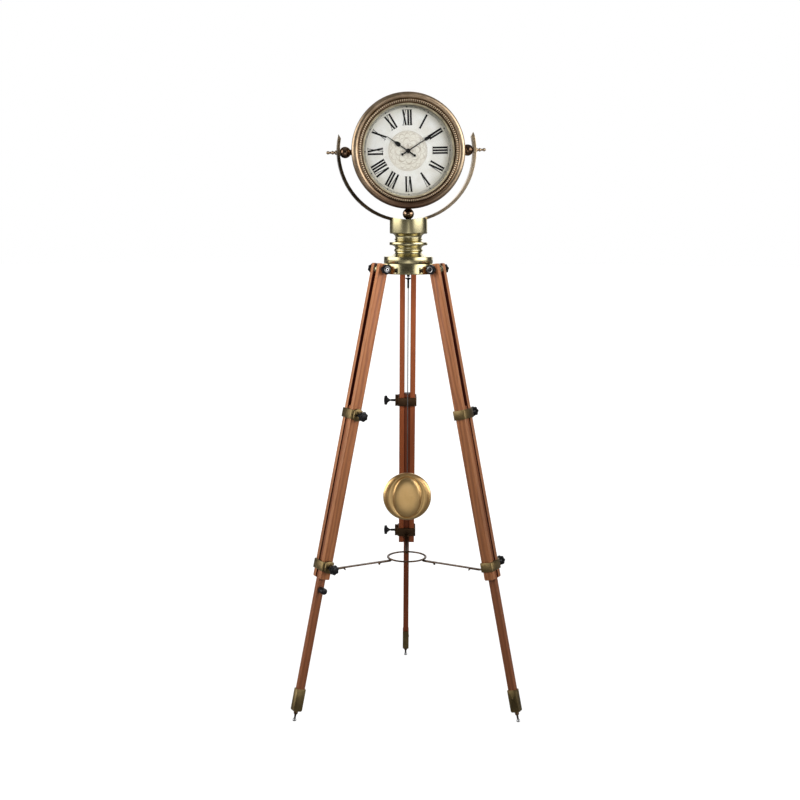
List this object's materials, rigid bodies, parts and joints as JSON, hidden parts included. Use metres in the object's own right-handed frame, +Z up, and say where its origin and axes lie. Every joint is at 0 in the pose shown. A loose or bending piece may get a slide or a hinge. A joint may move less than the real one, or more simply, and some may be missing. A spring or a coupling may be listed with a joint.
{
  "type": "tripod floor clock",
  "caption": "Floor clock with a round tilting head in a half-round yoke on a turned column, folding telescopic wooden tripod legs and a hanging pendulum",
  "frame": {"origin": "on the floor, on the column's axis, at the middle of the circle of the three feet", "axes": "+Z up; -Y is the clock's front; +X to the right as seen from the front; the third leg points to +Y"},
  "size_m": [0.5504, 0.4833, 1.4716],
  "materials": {
    "oiled_hardwood": "reddish-brown stained hardwood, satin",
    "dark_hardwood": "darker stained hardwood, satin",
    "pale_antique_brass": "pale antique brass plating on cast metal, satin",
    "cast_antique_brass": "cast light alloy plated pale antique brass, satin",
    "aged_brass": "dark olive-brown aged brass, satin",
    "bronze_plate": "spun metal plated antique bronze, satin",
    "yoke_bronze": "bent steel strap plated dark antique bronze",
    "black_grip": "moulded black grip, satin",
    "black_metal": "black enamelled metal",
    "bright_steel": "bright steel",
    "dial_card": "off-white printed dial plate, matt",
    "clear_glass": "clear flat glass"
  },
  "bodies": {
    "stand": {"leg_base": "cast_antique_brass", "swivel_bolt": "bright_steel", "pendulum_hanger": "black_metal"},
    "leg_back": {"slat_back_a": "oiled_hardwood", "slat_back_b": "oiled_hardwood", "hinge_bolt_back": "black_metal", "lower_collar_back": "aged_brass"},
    "hinge_knob_back": {"hinge_knob_back": "black_grip"},
    "inner_leg_back": {"inner_leg_back": "dark_hardwood", "mid_collar_back": "aged_brass", "ferrule_back": "aged_brass", "foot_tip_back": "bright_steel"},
    "lower_knob_back": {"lower_knob_back": "black_grip"},
    "mid_knob_back": {"mid_knob_back": "black_grip"},
    "spreader_arm_back": {"spreader_arm_back": "aged_brass"},
    "leg_left": {"slat_left_a": "oiled_hardwood", "slat_left_b": "oiled_hardwood", "hinge_bolt_left": "black_metal", "lower_collar_left": "aged_brass"},
    "hinge_knob_left": {"hinge_knob_left": "black_grip"},
    "inner_leg_left": {"inner_leg_left": "dark_hardwood", "mid_collar_left": "aged_brass", "ferrule_left": "aged_brass", "foot_tip_left": "bright_steel"},
    "lower_knob_left": {"lower_knob_left": "black_grip"},
    "mid_knob_left": {"mid_knob_left": "black_grip"},
    "spreader_arm_left": {"spreader_arm_left": "aged_brass"},
    "leg_right": {"slat_right_a": "oiled_hardwood", "slat_right_b": "oiled_hardwood", "hinge_bolt_right": "black_metal", "lower_collar_right": "aged_brass"},
    "hinge_knob_right": {"hinge_knob_right": "black_grip"},
    "inner_leg_right": {"inner_leg_right": "dark_hardwood", "mid_collar_right": "aged_brass", "ferrule_right": "aged_brass", "foot_tip_right": "bright_steel"},
    "lower_knob_right": {"lower_knob_right": "black_grip"},
    "mid_knob_right": {"mid_knob_right": "black_grip"},
    "spreader_arm_right": {"spreader_arm_right": "aged_brass"},
    "spreader_ring": {"spreader_ring": "aged_brass"},
    "stop_knob": {"stop_knob": "black_grip"},
    "turret": {"column": "cast_antique_brass", "yoke": "yoke_bronze", "ball_nut": "bronze_plate"},
    "head": {"drum_case": "bronze_plate", "back_cover": "black_metal", "bezel": "bronze_plate", "rope_ring": "aged_brass", "glass": "clear_glass", "dial": "dial_card", "movement": "black_grip", "ball_left": "bronze_plate", "ball_right": "bronze_plate"},
    "finial_left": {"finial_left": "bronze_plate"},
    "finial_right": {"finial_right": "bronze_plate"},
    "minute_hand": {"minute_hand": "black_metal"},
    "hour_hand": {"hour_hand": "black_metal"},
    "pendulum": {"pendulum_hook": "black_metal", "pendulum_rod": "bright_steel", "pendulum_bob": "pale_antique_brass"}
  },
  "joints": [
    {"name": "leg_back_fold", "type": "hinge", "parent": "stand", "child": "leg_back", "pos_m": [0, 0.0786, 1.0644], "axis": [-1, 0, 0], "range_deg": [0, 11.5]},
    {"name": "hinge_knob_back_turn", "type": "hinge", "parent": "leg_back", "child": "hinge_knob_back", "pos_m": [-0.029, 0.0786, 1.0644], "axis": [-1, 0, 0], "continuous": true},
    {"name": "leg_back_slide", "type": "slide", "parent": "leg_back", "child": "inner_leg_back", "axis": [0, 0.2102, -0.9776], "range_m": [-0.262, 0.318]},
    {"name": "lower_knob_back_turn", "type": "hinge", "parent": "leg_back", "child": "lower_knob_back", "pos_m": [-0.045, 0.22783, 0.37046], "axis": [-1, 0, 0], "continuous": true},
    {"name": "mid_knob_back_turn", "type": "hinge", "parent": "inner_leg_back", "child": "mid_knob_back", "pos_m": [-0.045, 0.15128, 0.72643], "axis": [-1, 0, 0], "continuous": true},
    {"name": "spreader_arm_back_swing", "type": "hinge", "parent": "leg_back", "child": "spreader_arm_back", "pos_m": [0, 0.20991, 0.35679], "axis": [-1, 0, 0], "range_deg": [-97, 0]},
    {"name": "leg_left_fold", "type": "hinge", "parent": "stand", "child": "leg_left", "pos_m": [-0.06807, -0.0393, 1.0644], "axis": [0.5, -0.866, 0], "range_deg": [0, 11.6]},
    {"name": "hinge_knob_left_turn", "type": "hinge", "parent": "leg_left", "child": "hinge_knob_left", "pos_m": [-0.05357, -0.06442, 1.0644], "axis": [0.5, -0.866, 0], "continuous": true},
    {"name": "leg_left_slide", "type": "slide", "parent": "leg_left", "child": "inner_leg_left", "axis": [-0.1821, -0.1051, -0.9776], "range_m": [-0.018, 0.318]},
    {"name": "lower_knob_left_turn", "type": "hinge", "parent": "leg_left", "child": "lower_knob_left", "pos_m": [-0.17481, -0.15289, 0.37046], "axis": [0.5, -0.866, 0], "continuous": true},
    {"name": "mid_knob_left_turn", "type": "hinge", "parent": "inner_leg_left", "child": "mid_knob_left", "pos_m": [-0.10851, -0.11461, 0.72643], "axis": [0.5, -0.866, 0], "continuous": true},
    {"name": "spreader_arm_left_swing", "type": "hinge", "parent": "leg_left", "child": "spreader_arm_left", "pos_m": [-0.18178, -0.10495, 0.35679], "axis": [0.5, -0.866, 0], "range_deg": [-97, 0]},
    {"name": "leg_right_fold", "type": "hinge", "parent": "stand", "child": "leg_right", "pos_m": [0.06807, -0.0393, 1.0644], "axis": [0.5, 0.866, 0], "range_deg": [0, 11.6]},
    {"name": "hinge_knob_right_turn", "type": "hinge", "parent": "leg_right", "child": "hinge_knob_right", "pos_m": [0.08257, -0.01418, 1.0644], "axis": [0.5, 0.866, 0], "continuous": true},
    {"name": "leg_right_slide", "type": "slide", "parent": "leg_right", "child": "inner_leg_right", "axis": [0.1821, -0.1051, -0.9776], "range_m": [-0.262, 0.318]},
    {"name": "lower_knob_right_turn", "type": "hinge", "parent": "leg_right", "child": "lower_knob_right", "pos_m": [0.21981, -0.07494, 0.37046], "axis": [0.5, 0.866, 0], "continuous": true},
    {"name": "mid_knob_right_turn", "type": "hinge", "parent": "inner_leg_right", "child": "mid_knob_right", "pos_m": [0.15351, -0.03667, 0.72643], "axis": [0.5, 0.866, 0], "continuous": true},
    {"name": "spreader_arm_right_swing", "type": "hinge", "parent": "leg_right", "child": "spreader_arm_right", "pos_m": [0.18178, -0.10495, 0.35679], "axis": [0.5, 0.866, 0], "range_deg": [-97, 0]},
    {"name": "spreader_ring_drop", "type": "slide", "parent": "stand", "child": "spreader_ring", "axis": [0, 0, 1], "range_m": [-0.156, 0]},
    {"name": "stop_knob_turn", "type": "hinge", "parent": "inner_leg_left", "child": "stop_knob", "pos_m": [-0.1989, -0.13562, 0.31357], "axis": [0.5, -0.866, 0], "continuous": true},
    {"name": "head_pan", "type": "hinge", "parent": "stand", "child": "turret", "pos_m": [0, 0, 1.077], "axis": [0, 0, 1], "continuous": true},
    {"name": "head_tilt", "type": "hinge", "parent": "turret", "child": "head", "pos_m": [-0.00513, -0.00077, 1.33792], "axis": [-0.9885, -0.1477, -0.0314], "range_deg": [-4, 35]},
    {"name": "finial_left_turn", "type": "hinge", "parent": "turret", "child": "finial_left", "pos_m": [-0.1801, -0.02692, 1.33236], "axis": [0.9885, 0.1477, 0.0314], "continuous": true},
    {"name": "finial_right_turn", "type": "hinge", "parent": "turret", "child": "finial_right", "pos_m": [0.16984, 0.02538, 1.34348], "axis": [0.9885, 0.1477, 0.0314], "continuous": true},
    {"name": "minute_hand_turn", "type": "hinge", "parent": "head", "child": "minute_hand", "pos_m": [-0.00513, -0.00077, 1.33792], "axis": [-0.1478, 0.989, 0], "continuous": true},
    {"name": "hour_hand_turn", "type": "hinge", "parent": "head", "child": "hour_hand", "pos_m": [-0.00513, -0.00077, 1.33792], "axis": [-0.1478, 0.989, 0], "continuous": true},
    {"name": "pendulum_swing", "type": "hinge", "parent": "stand", "child": "pendulum", "pos_m": [0, 0, 1.0478], "axis": [0, 1, 0], "range_deg": [-4, 4]}
  ],
  "couplings": [
    {"joint": "spreader_arm_back_swing", "follows": "leg_back_fold", "ratio": -8.4},
    {"joint": "leg_left_fold", "follows": "leg_back_fold", "ratio": 1},
    {"joint": "spreader_arm_left_swing", "follows": "leg_back_fold", "ratio": -8.4},
    {"joint": "leg_right_fold", "follows": "leg_back_fold", "ratio": 1},
    {"joint": "spreader_arm_right_swing", "follows": "leg_back_fold", "ratio": -8.4},
    {"joint": "spreader_ring_drop", "follows": "leg_back_fold", "m_per_rad": -0.772},
    {"joint": "hour_hand_turn", "follows": "minute_hand_turn", "ratio": 0.083333}
  ]
}
